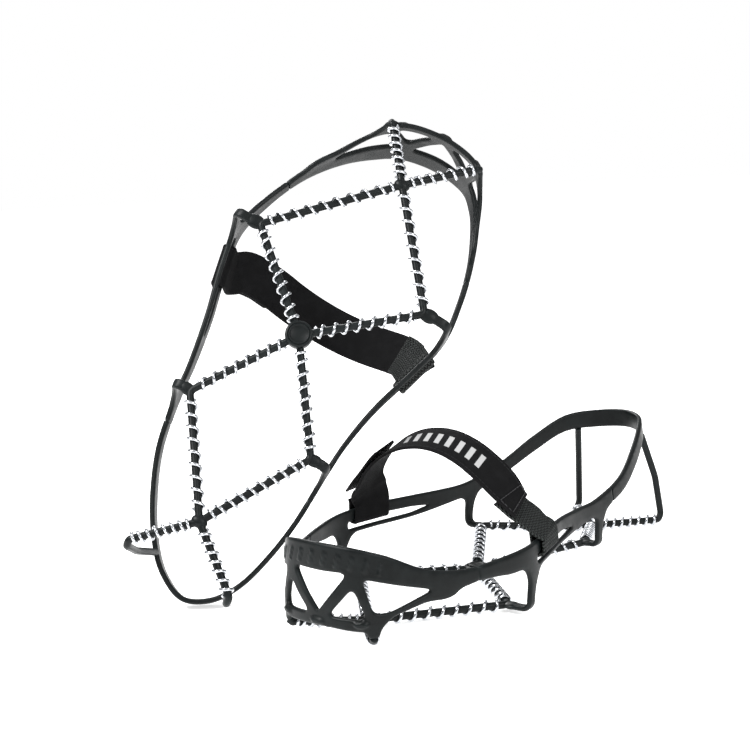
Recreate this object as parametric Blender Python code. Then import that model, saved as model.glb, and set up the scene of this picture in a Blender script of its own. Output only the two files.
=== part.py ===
# Coil-type ice traction device for a boot, shown as a pair: device A stands on its coils, device B
# is the same part tipped up on its heel corner.  Millimetres below, written out in metres.
# Device frame: toe toward -Y, heel toward +Y, strap pull side +X, floor at Z = 0.
import math
import bpy
import bmesh
from mathutils import Euler, Matrix, Vector
from mathutils.geometry import tessellate_polygon

MM = 0.001

# driving dimensions, sole net
BOW = 9.6                  # sideways bow of the sole centre line at 140 mm from the hub
CORD_Z = 3.8               # height of the coil and cord axis over the floor
CORD_R = 1.8               # rubber cord radius (through the corners of its sides)
CORD_SIDES = 6
HUB_R, HUB_H = 7.7, 7.0    # centre disc
XF, XR = 106.0, -115.0     # front and rear crossings, distance toward the toe
AF, AF_W = 45.5, 52.5      # front side junctions: distance toward the toe, half width
AR, AR_W, AR_Z = -55.0, 38.0, 12.0   # rear side junctions sit in the arch, lifted
TOE_TIP, TOE_TIP_W, TOE_TIP_Z = 137.0, 26.5, 8.0
HEEL_TIP, HEEL_TIP_W, HEEL_TIP_Z = -141.0, 30.5, 6.0

# driving dimensions, wire coils
COIL_R = 3.1               # mean radius of the helix
WIRE_R = 0.7               # wire radius
TURN_STEPS, WIRE_SIDES = 7, 4
COIL_CLEAR = 6.5           # from a junction centre to the first turn
HUB_CLEAR = 9.8            # from the hub centre to the first turn
TURNS_LEG_A, TURNS_LEG_B, TURNS_OUTER, TURNS_INNER, TURNS_HEEL = 7, 6, 9, 8, 7

# driving dimensions, harness band that runs round the boot: distance toward the toe, half width,
# top edge and bottom edge
RIM = [(149, 0, 57, 14.5), (144.5, 22, 55.5, 14.5), (132, 35.5, 50.5, 14.5), (113, 46.5, 40.5, 25),
       (92, 56.5, 36.5, 28.5), (70, 63.5, 37, 28), (45, 67.5, 38.5, 24.5), (20, 62.5, 39.8, 25.2),
       (-8, 54.5, 39.8, 26.2), (-34, 49.5, 39, 28.5), (-55, 47.5, 39.5, 31), (-84, 45, 47, 37.5),
       (-108, 39.5, 60, 49), (-129, 31, 71, 60), (-145, 18, 73.5, 62), (-153, 0, 74, 62.5)]
BAND_T = 3.0               # rubber thickness
LEAN = 0.10                # inward lean of the band per mm of height above 30 mm
RAIL_H, STRUT_H = 7.2, 2.8  # rail over the strap slot and strut under it
GAP = 0.3                  # clearance between two pieces that meet
STRIP = 8.5                # longest flat facet along the band

# driving dimensions, strap
STRAP_W, STRAP_T = 25.0, 1.6
RAIL_CLEAR = 0.9           # play between the strap loop and the rail it wraps

# display pose of device B (Euler angles in degrees, hub position in mm before it is set on the floor)
B_TURN = (-119.0, 30.3, 28.8)
B_HUB = (-47.3, -90.5, 158.5)



def centre(f):
    """Sideways position of the sole centre line at distance f toward the toe."""
    return BOW * (f / 140.0) ** 2


def point(f, w, z):
    """Device-frame point from distance toward the toe, offset from the centre line and height."""
    return Vector((centre(f) + w, -f, z))


# ---------------------------------------------------------------- band round the boot
def catmull(p, q, r, s, t):
    return [0.5 * (2 * b + (c - a) * t + (2 * a - 5 * b + 4 * c - d) * t * t
                   + (3 * b - a - 3 * c + d) * t ** 3) for a, b, c, d in zip(p, q, r, s)]


def rim_samples():
    """Fine samples (arc length, f, w, top, bottom) from the toe centre to the heel centre."""
    first = (RIM[1][0], -RIM[1][1], RIM[1][2], RIM[1][3])
    last = (RIM[-2][0], -RIM[-2][1], RIM[-2][2], RIM[-2][3])
    knots = [first] + RIM + [last]
    rows = []
    for i in range(1, len(knots) - 2):
        for k in range(24):
            rows.append(catmull(knots[i - 1], knots[i], knots[i + 1], knots[i + 2], k / 24.0))
    rows.append(list(RIM[-1]))
    out, run, last_p = [], 0.0, None
    for f, w, top, bot in rows:
        if last_p is not None:
            run += math.hypot(f - last_p[0], w - last_p[1])
        out.append((run, f, w, top, bot))
        last_p = (f, w)
    return out


RIM_S = rim_samples()
RIM_LEN = RIM_S[-1][0]


def rim_at(s):
    """f, w (always positive), top and bottom of the band at arc length s (0 toe .. RIM_LEN heel)."""
    s = min(max(s, 0.0), RIM_LEN)
    lo, hi = 0, len(RIM_S) - 1
    while hi - lo > 1:
        mid = (lo + hi) // 2
        if RIM_S[mid][0] <= s:
            lo = mid
        else:
            hi = mid
    a, b = RIM_S[lo], RIM_S[hi]
    t = 0.0 if b[0] == a[0] else (s - a[0]) / (b[0] - a[0])
    return [a[k] + (b[k] - a[k]) * t for k in range(1, 5)]


def arc_at(f):
    """Arc length at which the band passes distance f toward the toe."""
    for a, b in zip(RIM_S, RIM_S[1:]):
        if b[1] <= f <= a[1]:
            return a[0] + (b[0] - a[0]) * ((a[1] - f) / max(a[1] - b[1], 1e-9))
    return RIM_LEN


def wall(s, v, depth, side):
    """Point on the band: s arc from the toe, v height on the band, depth outward, side +1 or -1.
    Below the sole edge the surface rolls inward, so the drop straps curl under the sole."""
    if s < 0.0:
        s, side = -s, -side
    if s > RIM_LEN:
        s, side = 2 * RIM_LEN - s, -side
    f, w, _, _ = rim_at(s)
    f2, w2, _, _ = rim_at(s + 0.5)
    f1, w1, _, _ = rim_at(s - 0.5)
    tan = Vector((side * (w2 - w1) + centre(f2) - centre(f1), -(f2 - f1), 0.0)).normalized()
    out = Vector((tan.y, -tan.x, 0.0)) * side
    blend = min(max((20.0 - f) / 40.0, 0.0), 1.0)
    z0 = 7.8 + (15.5 - 7.8) * blend
    r = 4.0 - 0.5 * blend
    if v < z0:
        a = min((z0 - v) / r, math.pi / 2)
        under = max(z0 - v - r * math.pi / 2, 0.0)
        inward, z = r * (1 - math.cos(a)) + under, z0 - r * math.sin(a)
        n = out * math.cos(a) + Vector((0, 0, -math.sin(a)))
    else:
        inward, z, n = LEAN * max(v - 30.0, 0.0), v, out
    base = Vector((centre(f) + side * w, -f, z)) - out * inward
    return base + n * depth


def rounded(poly, r, n=3):
    """Round the corners of a closed polygon."""
    out = []
    for i, b in enumerate(poly):
        a, c = poly[i - 1], poly[(i + 1) % len(poly)]
        u = Vector((a[0] - b[0], a[1] - b[1]))
        v = Vector((c[0] - b[0], c[1] - b[1]))
        d = min(r, 0.42 * u.length, 0.42 * v.length)
        p, q, m = Vector(b[:2]) + u.normalized() * d, Vector(b[:2]) + v.normalized() * d, Vector(b[:2])
        for k in range(n + 1):
            t = k / n
            e = p * (1 - t) ** 2 + m * 2 * t * (1 - t) + q * t * t
            out.append((e.x, e.y))
    return out


def pattern(outline, holes, side, thick=BAND_T):
    """Cut a flat pattern (arc, height) with holes and bend it round the boot as a closed shell."""
    loops = [[Vector((x, y, 0)) for x, y in loop] for loop in [outline] + holes]
    pts = [p for loop in loops for p in loop]
    flat = bmesh.new()
    vs = [flat.verts.new(p) for p in pts]
    for tri in tessellate_polygon(loops):
        flat.faces.new([vs[i] for i in tri])
    lo, hi = min(p.x for p in pts), max(p.x for p in pts)
    cuts = int((hi - lo) / STRIP)
    for k in range(1, cuts + 1):
        x = lo + (hi - lo) * k / (cuts + 1)
        geom = flat.verts[:] + flat.edges[:] + flat.faces[:]
        bmesh.ops.bisect_plane(flat, geom=geom, plane_co=(x, 0, 0), plane_no=(1, 0, 0), dist=1e-4)
    for y in (15.5, 13.7, 11.8, 10.0, 7.8, 5.7, 3.6, 1.5):
        if min(p.y for p in pts) < y:
            geom = flat.verts[:] + flat.edges[:] + flat.faces[:]
            bmesh.ops.bisect_plane(flat, geom=geom, plane_co=(0, y, 0), plane_no=(0, 1, 0), dist=1e-4)
    bmesh.ops.remove_doubles(flat, verts=flat.verts[:], dist=1e-3)
    bmesh.ops.recalc_face_normals(flat, faces=flat.faces[:])
    spare = [e for e in flat.edges if len(e.link_faces) == 2
             and abs(e.verts[0].co.x - e.verts[1].co.x) > 1e-3
             and abs(e.verts[0].co.y - e.verts[1].co.y) > 1e-3]
    bmesh.ops.dissolve_edges(flat, edges=spare, use_verts=False)
    spare = [v for v in flat.verts if len(v.link_edges) == 2
             and all(len(e.link_faces) == 2 for e in v.link_edges)]
    bmesh.ops.dissolve_verts(flat, verts=spare)
    bmesh.ops.triangulate(flat, faces=flat.faces[:], ngon_method="EAR_CLIP")
    flat.verts.index_update()
    n = len(flat.verts)
    verts = [wall(v.co.x, v.co.y, thick / 2, side) for v in flat.verts]
    verts += [wall(v.co.x, v.co.y, -thick / 2, side) for v in flat.verts]
    faces = []
    for f in flat.faces:
        ids = [v.index for v in f.verts]
        faces += [ids, [i + n for i in reversed(ids)]]
    for e in flat.edges:
        if len(e.link_faces) == 1:
            a, b = e.verts[0].index, e.verts[1].index
            faces.append([a, b, b + n, a + n])
    flat.free()
    return verts, faces


def edge_run(s0, s1, which, step=10.0):
    """Points along the top (2) or bottom (3) edge of the band between two arcs."""
    n = max(1, int(abs(s1 - s0) / step))
    return [(s0 + (s1 - s0) * k / n, rim_at(abs(s0 + (s1 - s0) * k / n))[which]) for k in range(n + 1)]


S_CRADLE = arc_at(84.0)    # cradle meets the side rails here
S_HEEL = arc_at(-72.0)     # side rails meet the heel band here
S_LEG = arc_at(139.5)      # toe legs leave the cradle here


def toe_cradle():
    """Toe cup: tall top band, truss of five windows, lower band with three oval bumps."""
    s_tip = arc_at(101.0)
    top = edge_run(-S_CRADLE + GAP / 2, S_CRADLE - GAP / 2, 2)
    low = []
    for sg in (1, -1):
        part = [(S_CRADLE - GAP / 2, rim_at(S_CRADLE)[3]), (s_tip + 7, 27.2), (s_tip + 2, 24.0),
                (s_tip - 4, 23.2), (s_tip - 14, 24.0), (S_LEG + 11, 20.0), (S_LEG + 4.5, 14.5),
                (S_LEG + 2.6, 9.5), (S_LEG - 2.6, 9.5), (S_LEG - 4.5, 13.2), (19.0, 13.6), (8.0, 14.5)]
        low.append([(sg * s, v) for s, v in part])
    outline = top + low[0] + list(reversed(low[1]))
    windows = [[(-18, 43), (18, 43), (0.5, 23.0), (-0.5, 23.0)]]
    for sg in (1, -1):
        windows.append([(sg * 21.0, 36.0), (sg * 6.0, 20.5), (sg * 28.0, 19.5)])
        windows.append([(sg * 26.0, 40.5), (sg * 66.5, 29.6), (sg * 39.5, 22.0), (sg * 31.5, 22.5)])
    return pattern(outline, [rounded(w, 4.5) for w in windows], 1)


def side_rail(side):
    """Side rail with the strap slot and its two drop straps that curl under the sole."""
    s0, s1 = S_CRADLE + GAP / 2, S_HEEL - GAP / 2
    sf, sr = arc_at(AF), arc_at(AR)
    top = edge_run(s0, s1, 2)
    s_a, s_b = arc_at(62.0), arc_at(32.0)
    low = [(s1, rim_at(s1)[3]), (arc_at(-64.0), rim_at(arc_at(-64.0))[3] - 1.5),
           (sr + 4.5, 26.0), (sr + 2.4, 19.0), (sr + 2.4, 7.5), (sr - 2.4, 7.5), (sr - 2.4, 19.0),
           (sr - 1.0, 27.0), (arc_at(-50.0), 29.6)]
    low += edge_run(arc_at(-42.0), s_b, 3)
    low += [(sf + 10.0, 22.8), (sf + 5.4, 16.5), (sf + 2.4, 7.8), (sf + 2.4, -5.6), (sf - 2.4, -5.6),
            (sf - 2.4, 7.8), (sf - 0.6, 19.0), (sf - 2.6, 24.6), (sf - 7.0, 27.2)]
    low += edge_run(s_a, s0, 3)
    slot = []
    for f in (38.0, 24.0, 8.0, -8.0):
        s = arc_at(f)
        slot.append((s, rim_at(s)[3] + STRUT_H))
    slot.append((arc_at(-21.0), (rim_at(arc_at(-21.0))[2] - RAIL_H + rim_at(arc_at(-21.0))[3] + STRUT_H) / 2))
    for f in (-8.0, 8.0, 24.0, 38.0):
        s = arc_at(f)
        slot.append((s, rim_at(s)[2] - RAIL_H))
    return pattern(top + low, [slot], side)


def heel_band():
    """Band that passes behind the heel, rising from the rails."""
    span = RIM_LEN - S_HEEL - GAP / 2
    s0, s1 = RIM_LEN - span, RIM_LEN + span
    mirror = lambda s: s if s <= RIM_LEN else 2 * RIM_LEN - s
    n = 22
    arcs = [s0 + (s1 - s0) * k / n for k in range(n + 1)]
    top = [(s, rim_at(mirror(s))[2]) for s in arcs]
    low = [(s, rim_at(mirror(s))[3]) for s in reversed(arcs)]
    return pattern(top + low, [], 1)


# ---------------------------------------------------------------- tubes, coils, webs
def frames(path):
    """Rotation-minimising frames along a polyline."""
    tans = []
    for i in range(len(path)):
        a, b = path[max(i - 1, 0)], path[min(i + 1, len(path) - 1)]
        tans.append((b - a).normalized())
    ref = Vector((0, 0, 1)) if abs(tans[0].z) < 0.9 else Vector((1, 0, 0))
    n = tans[0].cross(ref).normalized()
    out = []
    for i, t in enumerate(tans):
        if i:
            n = (n - t * n.dot(t)).normalized()
        out.append((t, n, t.cross(n).normalized()))
    return out


def tube(path, radius, sides, phase=0.0):
    """Closed tube; the rings at inner corners are mitred."""
    fr = frames(path)
    verts, faces = [], []
    for i, (p, (t, n, b)) in enumerate(zip(path, fr)):
        grow = 1.0
        axis = None
        if 0 < i < len(path) - 1:
            d1 = (p - path[i - 1]).normalized()
            d2 = (path[i + 1] - p).normalized()
            half = d1.angle(d2, 0.0) / 2
            if half > 1e-3:
                grow, axis = 1.0 / max(math.cos(half), 0.6), (d2 - d1).normalized()
        for k in range(sides):
            a = 2 * math.pi * (k + phase) / sides
            o = n * (radius * math.cos(a)) + b * (radius * math.sin(a))
            if axis is not None:
                o += axis * (o.dot(axis) * (grow - 1.0))
            verts.append(p + o)
    for i in range(len(path) - 1):
        for k in range(sides):
            a, b = i * sides + k, i * sides + (k + 1) % sides
            faces.append([a, b, b + sides, a + sides])
    faces.append(list(range(sides))[::-1])
    faces.append([(len(path) - 1) * sides + k for k in range(sides)])
    return verts, faces


def coil(a, b, start, stop, turns, hand):
    """Helical wire round the cord from a to b; hand +1 right-handed, -1 left-handed."""
    axis = b - a
    length = axis.length
    t = axis.normalized()
    n = t.cross(Vector((0, 0, 1))).normalized()
    m = t.cross(n)
    steps = turns * TURN_STEPS
    verts, faces = [], []
    run = length - start - stop
    for i in range(steps + 1):
        ang = hand * 2 * math.pi * i / TURN_STEPS
        rad = n * math.cos(ang) + m * math.sin(ang)
        c = a + t * (start + run * i / steps)
        tang = ((-n * math.sin(ang) + m * math.cos(ang)) * hand * 2 * math.pi * COIL_R * turns / run + t)
        tang.normalize()
        w = tang.cross(rad).normalized()
        for k in range(WIRE_SIDES):
            q = 2 * math.pi * (k + 0.5) / WIRE_SIDES
            verts.append(c + rad * (COIL_R + WIRE_R * math.cos(q)) + w * (WIRE_R * math.sin(q)))
    for i in range(steps):
        for k in range(WIRE_SIDES):
            p, r = i * WIRE_SIDES + k, i * WIRE_SIDES + (k + 1) % WIRE_SIDES
            faces.append([p, r, r + WIRE_SIDES, p + WIRE_SIDES])
    faces.append(list(range(WIRE_SIDES))[::-1])
    faces.append([steps * WIRE_SIDES + k for k in range(WIRE_SIDES)])
    return verts, faces


def blob(at, rx, ry, rz, seg=9, rings=5, turn=0.0):
    """Flattened rubber knuckle at a junction of cords."""
    verts, faces = [], []
    for j in range(1, rings):
        th = math.pi * j / rings
        for k in range(seg):
            a = 2 * math.pi * (k + 0.5) / seg + turn
            verts.append(at + Vector((rx * math.sin(th) * math.cos(a), ry * math.sin(th) * math.sin(a),
                                      rz * math.cos(th))))
    top, bot = len(verts), len(verts) + 1
    verts += [at + Vector((0, 0, rz)), at - Vector((0, 0, rz))]
    for j in range(rings - 2):
        for k in range(seg):
            a, b = j * seg + k, j * seg + (k + 1) % seg
            faces.append([a, a + seg, b + seg, b])
    for k in range(seg):
        faces.append([top, k, (k + 1) % seg])
        faces.append([bot, (rings - 2) * seg + (k + 1) % seg, (rings - 2) * seg + k])
    return verts, faces


def hub_rim(toward):
    """Where a cord ends, just short of the centre disc."""
    hub = Vector((0, 0, CORD_Z))
    return hub + (toward - hub).normalized() * (HUB_R + GAP + 0.1)


HUB = Vector((0, 0, CORD_Z))
PXF, PXR = point(XF, 0, CORD_Z), point(XR, 0, CORD_Z)
PAF = {s: point(AF, s * AF_W, CORD_Z) for s in (1, -1)}
PAR = {s: point(AR, s * AR_W, AR_Z) for s in (1, -1)}
PTF = {s: point(TOE_TIP, s * TOE_TIP_W, TOE_TIP_Z) for s in (1, -1)}
PTR = {s: point(HEEL_TIP, s * HEEL_TIP_W, HEEL_TIP_Z) for s in (1, -1)}


def web_front():
    """Front cords: toe legs, crossing, front diamond sides and the runs to the centre disc."""
    out = []
    for s in (1, -1):
        foot = wall(S_LEG, 9.5 - GAP - 1.7, 0.0, s)
        bend = PTF[s].lerp(foot, 0.45) + Vector((0, 0, -1.0))
        path = [foot, bend, PTF[s], PXF, PAF[-s], hub_rim(PAF[-s])]
        out.append(tube(path, CORD_R, CORD_SIDES, 0.5))
    out.append(blob(PXF, 4.6, 3.6, 2.6))
    for s in (1, -1):
        out.append(blob(PAF[s], 3.6, 4.4, 2.6))
    return out


def web_rear():
    """Rear cords: runs from the disc, rear diamond sides, crossing and the heel legs."""
    out = []
    for s in (1, -1):
        top = wall(arc_at(-137.0), 60.6 - GAP - 1.9, 0.0, s)
        path = [hub_rim(PAR[-s]), PAR[-s], PXR, PTR[s], PTR[s] + Vector((0, 3.2, 3.5)),
                PTR[s].lerp(top, 0.5) + Vector((s * 1.5, 4.0, 0)), top]
        out.append(tube(path, CORD_R, CORD_SIDES, 0.5))
    out.append(blob(PXR, 4.6, 3.6, 2.6))
    for s in (1, -1):
        out.append(blob(PAR[s], 3.2, 3.8, 2.5))
    return out


def hub_disc():
    """Centre disc of the net: flat below, raised button above and a rim groove."""
    prof = [(0, 0), (HUB_R - 0.8, 0), (HUB_R, 0.8), (HUB_R, HUB_H - 1.6), (HUB_R - 0.8, HUB_H - 0.8),
            (5.5, HUB_H - 0.8), (5.1, HUB_H), (0, HUB_H)]
    seg, verts, faces = 16, [], []
    ring = prof[1:-1]
    for r, z in ring:
        for k in range(seg):
            a = 2 * math.pi * k / seg
            verts.append(Vector((r * math.cos(a), r * math.sin(a), z)))
    for j in range(len(ring) - 1):
        for k in range(seg):
            a, b = j * seg + k, j * seg + (k + 1) % seg
            faces.append([a, b, b + seg, a + seg])
    faces.append(list(range(seg))[::-1])
    faces.append([(len(ring) - 1) * seg + k for k in range(seg)])
    return verts, faces


# ---------------------------------------------------------------- strap
def ribbon(rows, width, thick):
    """Flat band through rows of (centre, width direction); closed body."""
    n = len(rows)
    verts, faces = [], []
    for i, (c, w) in enumerate(rows):
        t = (rows[min(i + 1, n - 1)][0] - rows[max(i - 1, 0)][0]).normalized()
        w = (w - t * w.dot(t)).normalized()
        nn = t.cross(w).normalized()
        if 0 < i < n - 1:
            half = (c - rows[i - 1][0]).angle(rows[i + 1][0] - c, 0.0) / 2
            nn = nn / max(math.cos(half), 0.6)
        for a, b in ((-1, -1), (1, -1), (1, 1), (-1, 1)):
            verts.append(c + w * (a * width / 2) + nn * (b * thick / 2))
    for i in range(n - 1):
        for k in range(4):
            a, b = i * 4 + k, i * 4 + (k + 1) % 4
            faces.append([a, b, b + 4, a + 4])
    faces.append([3, 2, 1, 0])
    faces.append([(n - 1) * 4 + k for k in range(4)])
    return verts, faces


def rail_loop(side, f=22.0):
    """Strap path round the upper rail at the slot, from the inside up to the outside."""
    s = arc_at(f)
    fr, wr, top, bot = rim_at(s)
    mid = top - RAIL_H / 2
    out = (wall(s, mid, 1.0, side) - wall(s, mid, 0.0, side)).normalized()
    tan = (wall(s + 1, rim_at(s + 1)[2], 0, side) - wall(s - 1, rim_at(s - 1)[2], 0, side)).normalized()
    c = wall(s, mid, 0.0, side)
    u, lo = BAND_T / 2 + RAIL_CLEAR + STRAP_T / 2, -RAIL_H / 2 - RAIL_CLEAR - STRAP_T / 2
    zz = Vector((0, 0, 1))
    pts = [(-u, 7.0), (-u, lo + 1.2), (-u + 1.2, lo), (u - 1.2, lo), (u, lo + 1.2), (u, 7.0)]
    return [(c + out * a + zz * b - out * LEAN * b, tan) for a, b in pts], c, out, tan


CREST = [(-50.5, -33.5, 59.0), (-45.0, -35.5, 66.5), (-37.0, -37.0, 74.5), (-26.5, -37.0, 82.0),
         (-14.0, -37.0, 87.0), (0.0, -37.0, 88.8), (13.0, -37.0, 87.2), (26.0, -37.0, 82.2),
         (38.6, -37.0, 74.2), (46.5, -36.3, 67.1)]
TILT = Vector((0, 0.96, 0.28))


def strap_band():
    """Smooth band over the instep; its far end turns under the left rail and comes up outside."""
    loop, c, out, tan = rail_loop(-1)
    end = [(c + out * 3.6 + Vector((0, -0.6, 10.4)), tan)]
    down = [(c - out * 4.2 + Vector((0, -2.5, 12.0)), tan),
            (c - out * 7.6 + Vector((0, -7.5, 18.0)), (tan + TILT) * 0.5)]
    over = [(Vector(p), TILT) for p in CREST]
    tail = [(Vector((52.9, -34.5, 59.0)), Vector((-0.12, 0.975, 0.12))),
            (Vector((55.3, -32.9, 55.9)), Vector((-0.12, 0.98, 0.06)))]
    rows = list(reversed(loop))
    return ribbon(list(reversed(end)) + rows + down + over + tail, STRAP_W, STRAP_T)


def strap_tab():
    """Hook-and-loop tab lying on the band outside the left rail; peels outward."""
    loop, c, out, tan = rail_loop(-1)
    a = c + out * 2.2 + Vector((0, -1.6, 16.0))
    b = Vector((-55.5, -31.5, 58.5)) + out * 1.2
    d = Vector((-45.0, -35.5, 66.5)) + out * 2.3 + Vector((0, 0, 2.0))
    e = Vector((-34.5, -37.0, 78.2)) + out * 1.0 + Vector((0, 0, 1.9))
    rows = [(a, tan), (b, (tan + TILT) * 0.5), (d, TILT), (d.lerp(e, 0.5) + out * 0.2, TILT), (e, TILT)]
    return ribbon(rows, STRAP_W - 1.0, STRAP_T)


def strap_elastic():
    """Ribbed elastic loop round the right rail, sewn under the end of the smooth band."""
    loop, c, out, tan = rail_loop(1)
    w = Vector((-0.12, 0.98, 0.02))
    n = Vector((0.77, -0.04, 0.63))
    gap = STRAP_T + GAP
    rows = [(Vector((49.55, -35.4, 63.2)) - n * (gap + 1.0), Vector((-0.057, 0.967, 0.204))),
            (Vector((52.9, -34.5, 59.0)) - n * (gap + 0.6), Vector((-0.12, 0.975, 0.12))),
            (Vector((55.3, -32.9, 55.9)) - n * (gap + 0.5), Vector((-0.12, 0.98, 0.06))),
            (Vector((59.3, -29.0, 49.8)) - n * 0.9, w),
            (c - out * 0.2 + Vector((0, -2.5, 7.8)), (w + tan) * 0.5),
            (c + out * 2.5 + Vector((0, -0.4, 4.9)), tan), (c + out * 3.2 + Vector((0, 0, 2.6)), tan)]
    rows += list(reversed(loop[:-1]))
    return ribbon(rows, STRAP_W, STRAP_T)


# ---------------------------------------------------------------- assembly
COLOURS = {"rubber": (0.035, 0.040, 0.042, 1), "steel": (0.62, 0.63, 0.65, 1),
           "strap": (0.012, 0.012, 0.013, 1), "elastic": (0.020, 0.022, 0.021, 1),
           "tab": (0.016, 0.016, 0.017, 1)}


def add(name, mesh_data, colour, place):
    verts, faces = mesh_data
    me = bpy.data.meshes.new(name)
    me.from_pydata([place @ (v * MM) for v in verts], [], faces)
    bm = bmesh.new()
    bm.from_mesh(me)
    bmesh.ops.remove_doubles(bm, verts=bm.verts[:], dist=2e-6)
    bmesh.ops.recalc_face_normals(bm, faces=bm.faces[:])
    bmesh.ops.triangulate(bm, faces=bm.faces[:])
    if bm.calc_volume(signed=True) < 0:
        bmesh.ops.reverse_faces(bm, faces=bm.faces[:])
    bm.to_mesh(me)
    bm.free()
    ob = bpy.data.objects.new(name, me)
    bpy.context.scene.collection.objects.link(ob)
    mat = bpy.data.materials.new(name)
    mat.use_nodes = True
    node = mat.node_tree.nodes["Principled BSDF"]
    node.inputs["Base Color"].default_value = COLOURS[colour]
    node.inputs["Roughness"].default_value = 0.25 if colour == "steel" else 0.6
    node.inputs["Metallic"].default_value = 1.0 if colour == "steel" else 0.0
    me.materials.append(mat)
    return ob


def add_joined(name, pieces, colour, place):
    """Union of overlapping closed meshes into one closed body."""
    obs = [add(name if i == 0 else name + "_cut%d" % i, p, colour, Matrix.Identity(4))
           for i, p in enumerate(pieces)]
    base = obs[0]
    for other in obs[1:]:
        mod = base.modifiers.new("join", "BOOLEAN")
        mod.operation, mod.solver, mod.object = "UNION", "EXACT", other
    bpy.context.view_layer.update()
    me = bpy.data.meshes.new_from_object(base.evaluated_get(bpy.context.evaluated_depsgraph_get()))
    base.modifiers.clear()
    old = base.data
    base.data = me
    for other in obs[1:]:
        data = other.data
        bpy.data.objects.remove(other)
        bpy.data.meshes.remove(data)
    bpy.data.meshes.remove(old)
    bm = bmesh.new()
    bm.from_mesh(me)
    bmesh.ops.remove_doubles(bm, verts=bm.verts[:], dist=2e-5)
    bmesh.ops.dissolve_degenerate(bm, edges=bm.edges[:], dist=1e-5)
    bmesh.ops.triangulate(bm, faces=bm.faces[:])
    bmesh.ops.transform(bm, matrix=place, verts=bm.verts[:])
    bm.to_mesh(me)
    bm.free()
    return base


COILS = [("coil_toe_left", PXF, PTF[-1], COIL_CLEAR, 0.6, TURNS_LEG_A, -1),
         ("coil_toe_right", PXF, PTF[1], COIL_CLEAR, 0.6, TURNS_LEG_B, 1),
         ("coil_front_outer_left", PXF, PAF[-1], COIL_CLEAR, COIL_CLEAR, TURNS_OUTER, 1),
         ("coil_front_outer_right", PXF, PAF[1], COIL_CLEAR, COIL_CLEAR, TURNS_OUTER, -1),
         ("coil_front_inner_left", PAF[-1], HUB, COIL_CLEAR, HUB_CLEAR, TURNS_INNER, 1),
         ("coil_front_inner_right", PAF[1], HUB, COIL_CLEAR, HUB_CLEAR, TURNS_INNER, -1),
         ("coil_rear_inner_left", HUB, PAR[-1], HUB_CLEAR, COIL_CLEAR, TURNS_INNER, -1),
         ("coil_rear_inner_right", HUB, PAR[1], HUB_CLEAR, COIL_CLEAR, TURNS_INNER, 1),
         ("coil_rear_outer_left", PAR[-1], PXR, COIL_CLEAR, COIL_CLEAR, TURNS_OUTER, -1),
         ("coil_rear_outer_right", PAR[1], PXR, COIL_CLEAR, COIL_CLEAR, TURNS_OUTER, 1),
         ("coil_heel_left", PXR, PTR[-1], COIL_CLEAR, 1.6, TURNS_HEEL, 1),
         ("coil_heel_right", PXR, PTR[1], COIL_CLEAR, 1.6, TURNS_HEEL, -1)]


def device(tag, place):
    """All pieces of one traction device, moved by the placement matrix (metres)."""
    made = [add(tag + "toe_cradle", toe_cradle(), "rubber", place),
            add(tag + "side_rail_left", side_rail(-1), "rubber", place),
            add(tag + "side_rail_right", side_rail(1), "rubber", place),
            add(tag + "heel_band", heel_band(), "rubber", place),
            add(tag + "hub_disc", hub_disc(), "rubber", place),
            add_joined(tag + "web_front", web_front(), "rubber", place),
            add_joined(tag + "web_rear", web_rear(), "rubber", place),
            add(tag + "strap_band", strap_band(), "strap", place),
            add(tag + "strap_elastic", strap_elastic(), "elastic", place),
            add(tag + "strap_tab", strap_tab(), "tab", place)]
    for name, a, b, start, stop, turns, hand in COILS:
        made.append(add(tag + name, coil(a, b, start, stop, turns, hand), "steel", place))
    return made


def main():
    for ob in list(bpy.data.objects):
        bpy.data.objects.remove(ob)
    device("a_", Matrix.Identity(4))
    turn = Euler([math.radians(a) for a in B_TURN], "XYZ").to_matrix().to_4x4()
    place = Matrix.Translation(Vector(B_HUB) * MM) @ turn
    made = device("b_", place)
    low = min(v.co.z for ob in made for v in ob.data.vertices)
    for ob in made:
        ob.data.transform(Matrix.Translation((0, 0, -low)))
    print("lift of device B, mm:", round(-low / MM, 3))


main()
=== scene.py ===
# Looks of the coil-type traction devices: moulded rubber, sprung steel wire, woven and elastic strap.
# Shapes are worked out in millimetres in the device's own frame (toe toward -Y, floor at Z = 0) and
# placed twice: device A stands on the floor, device B is tipped up on its heel corner.
import math
import bpy
import bmesh
import numpy as np
from mathutils import Euler, Matrix, Vector
from mathutils.geometry import delaunay_2d_cdt


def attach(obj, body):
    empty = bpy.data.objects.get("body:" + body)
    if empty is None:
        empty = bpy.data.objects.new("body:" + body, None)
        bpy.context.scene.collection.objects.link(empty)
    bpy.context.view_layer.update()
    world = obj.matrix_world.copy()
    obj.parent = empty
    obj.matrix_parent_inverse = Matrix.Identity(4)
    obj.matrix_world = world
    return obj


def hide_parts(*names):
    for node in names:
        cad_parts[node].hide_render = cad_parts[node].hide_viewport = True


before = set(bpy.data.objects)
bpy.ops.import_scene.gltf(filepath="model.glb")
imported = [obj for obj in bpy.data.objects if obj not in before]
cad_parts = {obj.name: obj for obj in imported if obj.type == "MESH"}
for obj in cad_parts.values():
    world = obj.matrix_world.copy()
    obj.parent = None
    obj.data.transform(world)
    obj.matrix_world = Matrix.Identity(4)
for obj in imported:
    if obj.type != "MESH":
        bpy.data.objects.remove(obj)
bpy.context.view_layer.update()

MM = 0.001
UP = Vector((0, 0, 1))
SCENE = bpy.context.scene

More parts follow.
